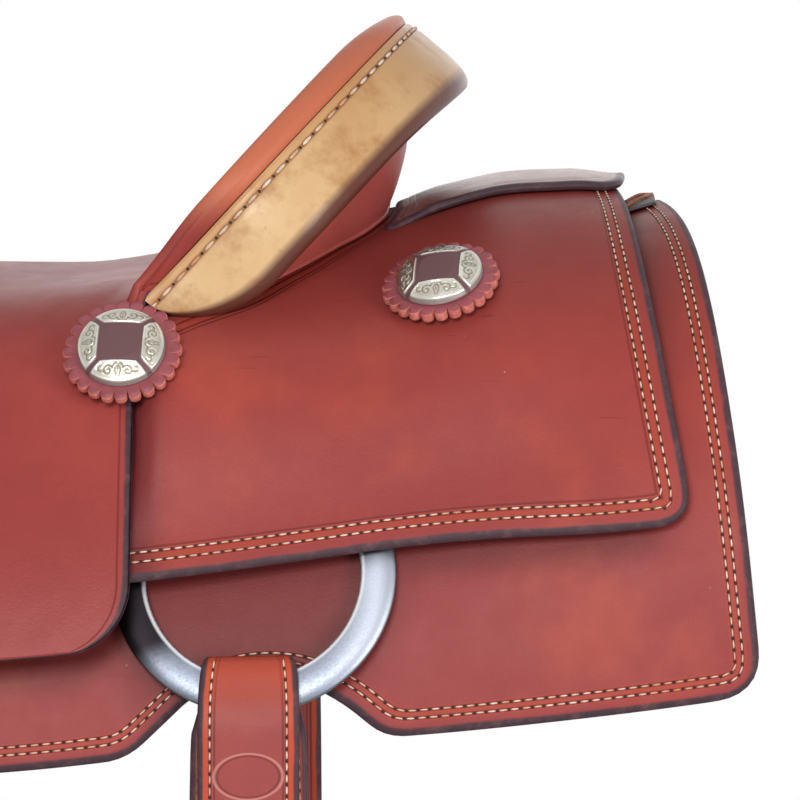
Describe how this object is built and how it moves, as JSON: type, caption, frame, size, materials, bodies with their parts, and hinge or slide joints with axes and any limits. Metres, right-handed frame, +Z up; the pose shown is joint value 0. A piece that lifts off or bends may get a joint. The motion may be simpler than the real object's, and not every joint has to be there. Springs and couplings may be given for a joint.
{
  "type": "roping saddle",
  "caption": "Western roping saddle with a rawhide-bound cantle roll, dally horn, double rigging on flat rings, fenders and wooden stirrups.",
  "frame": {"origin": "on the horse's spine line, at the height of its back, under the lowest point of the seat", "axes": "+X to the horse's tail, +Y to its off (right) side, +Z up"},
  "size_m": [0.7105, 0.5262, 0.915],
  "materials": {
    "leather": "oiled chestnut harness leather with dark burnished edges",
    "rawhide": "tan rawhide, varnished",
    "seat_filler": "plain undyed leather",
    "lace": "dark brown lace",
    "tree_wood": "pine under rawhide",
    "stirrup_wood": "oiled oak",
    "fleece": "cream woolskin",
    "steel": "satin stainless steel",
    "brass": "plain brass",
    "silver": "polished silver plate with dark recesses",
    "rubber": "matt black rubber wrap"
  },
  "bodies": {
    "saddle": {"tree_fork": "tree_wood", "tree_cantle": "tree_wood", "tree_bar_left": "tree_wood", "tree_bar_right": "tree_wood", "ground_seat": "seat_filler", "fork_cover": "leather", "horn": "steel", "horn_wrap": "rubber", "horn_cap": "leather", "seat": "leather", "cantle_back": "leather", "cantle_roll": "seat_filler", "cantle_binding": "rawhide", "back_jockey_left": "leather", "back_jockey_right": "leather", "rear_plate": "leather", "front_jockey_left": "leather", "front_jockey_right": "leather", "skirt_left": "leather", "skirt_right": "leather", "fleece_left": "fleece", "fleece_right": "fleece", "skirt_lace": "lace", "rear_rigging_strap_left": "leather", "rear_rigging_strap_right": "leather", "front_rigging_strap_left": "leather", "front_rigging_strap_right": "leather", "leather_loop_left": "leather", "leather_loop_right": "leather", "concho_left_1": "silver", "concho_left_2": "silver", "concho_right_1": "silver", "concho_right_2": "silver", "rosette_left_1": "leather", "rosette_left_2": "leather", "rosette_right_1": "leather", "rosette_right_2": "leather"},
    "fender_left": {"stirrup_leather_left": "leather", "fender_left": "leather", "hobble_strap_left": "leather"},
    "fender_right": {"stirrup_leather_right": "leather", "fender_right": "leather", "hobble_strap_right": "leather"},
    "stirrup_left": {"stirrup_left": "stirrup_wood", "stirrup_bolt_left": "steel", "stirrup_roller_left": "brass"},
    "stirrup_right": {"stirrup_right": "stirrup_wood", "stirrup_bolt_right": "steel", "stirrup_roller_right": "brass"},
    "rear_ring_left": {"rear_ring_left": "steel"},
    "rear_ring_right": {"rear_ring_right": "steel"},
    "front_ring_left": {"front_ring_left": "steel"},
    "front_ring_right": {"front_ring_right": "steel"},
    "flank_billet_left": {"flank_billet_left": "leather"},
    "flank_billet_right": {"flank_billet_right": "leather"},
    "latigo_left": {"latigo_left": "leather"},
    "off_billet_right": {"off_billet_right": "leather"},
    "rope_strap": {"rope_strap": "leather"}
  },
  "joints": [
    {"name": "fender_swing_left", "type": "hinge", "parent": "saddle", "child": "fender_left", "pos_m": [-0.125, -0.16831, -0.04502], "axis": [0, -0.9492, 0.3147], "range_deg": [-25, 15]},
    {"name": "fender_swing_right", "type": "hinge", "parent": "saddle", "child": "fender_right", "pos_m": [-0.125, 0.16831, -0.04502], "axis": [0, -0.9492, -0.3147], "range_deg": [-25, 15]},
    {"name": "stirrup_swing_left", "type": "hinge", "parent": "fender_left", "child": "stirrup_left", "pos_m": [-0.125, -0.23712, -0.51526], "axis": [1, 0, 0], "range_deg": [-35, 35]},
    {"name": "stirrup_swing_right", "type": "hinge", "parent": "fender_right", "child": "stirrup_right", "pos_m": [-0.125, 0.23712, -0.51526], "axis": [1, 0, 0], "range_deg": [-35, 35]},
    {"name": "rear_ring_turn_left", "type": "hinge", "parent": "saddle", "child": "rear_ring_left", "pos_m": [0.0794, -0.1716, -0.06423], "axis": [-0.0637, -0.9313, 0.3586], "continuous": true},
    {"name": "rear_ring_turn_right", "type": "hinge", "parent": "saddle", "child": "rear_ring_right", "pos_m": [0.0794, 0.1716, -0.06423], "axis": [0.0637, -0.9313, -0.3586], "continuous": true},
    {"name": "front_ring_turn_left", "type": "hinge", "parent": "saddle", "child": "front_ring_left", "pos_m": [-0.311, -0.1716, -0.06143], "axis": [0.0422, -0.9324, 0.359], "continuous": true},
    {"name": "front_ring_turn_right", "type": "hinge", "parent": "saddle", "child": "front_ring_right", "pos_m": [-0.311, 0.1716, -0.06143], "axis": [-0.0422, -0.9324, -0.359], "continuous": true},
    {"name": "flank_billet_swing_left", "type": "hinge", "parent": "saddle", "child": "flank_billet_left", "pos_m": [0.0794, -0.1716, -0.06423], "axis": [-0.0637, -0.9313, 0.3586], "range_deg": [-10, 25]},
    {"name": "flank_billet_swing_right", "type": "hinge", "parent": "saddle", "child": "flank_billet_right", "pos_m": [0.0794, 0.1716, -0.06423], "axis": [0.0637, -0.9313, -0.3586], "range_deg": [-10, 25]},
    {"name": "latigo_swing_left", "type": "hinge", "parent": "saddle", "child": "latigo_left", "pos_m": [-0.311, -0.1716, -0.06143], "axis": [0.0422, -0.9324, 0.359], "range_deg": [-20, 17]},
    {"name": "off_billet_swing_right", "type": "hinge", "parent": "saddle", "child": "off_billet_right", "pos_m": [-0.311, 0.1716, -0.06143], "axis": [-0.0422, -0.9324, -0.359], "range_deg": [-20, 17]},
    {"name": "rope_strap_swing", "type": "hinge", "parent": "saddle", "child": "rope_strap", "pos_m": [-0.325, 0.158, 0.118], "axis": [1, 0, 0], "range_deg": [0, 30]}
  ]
}
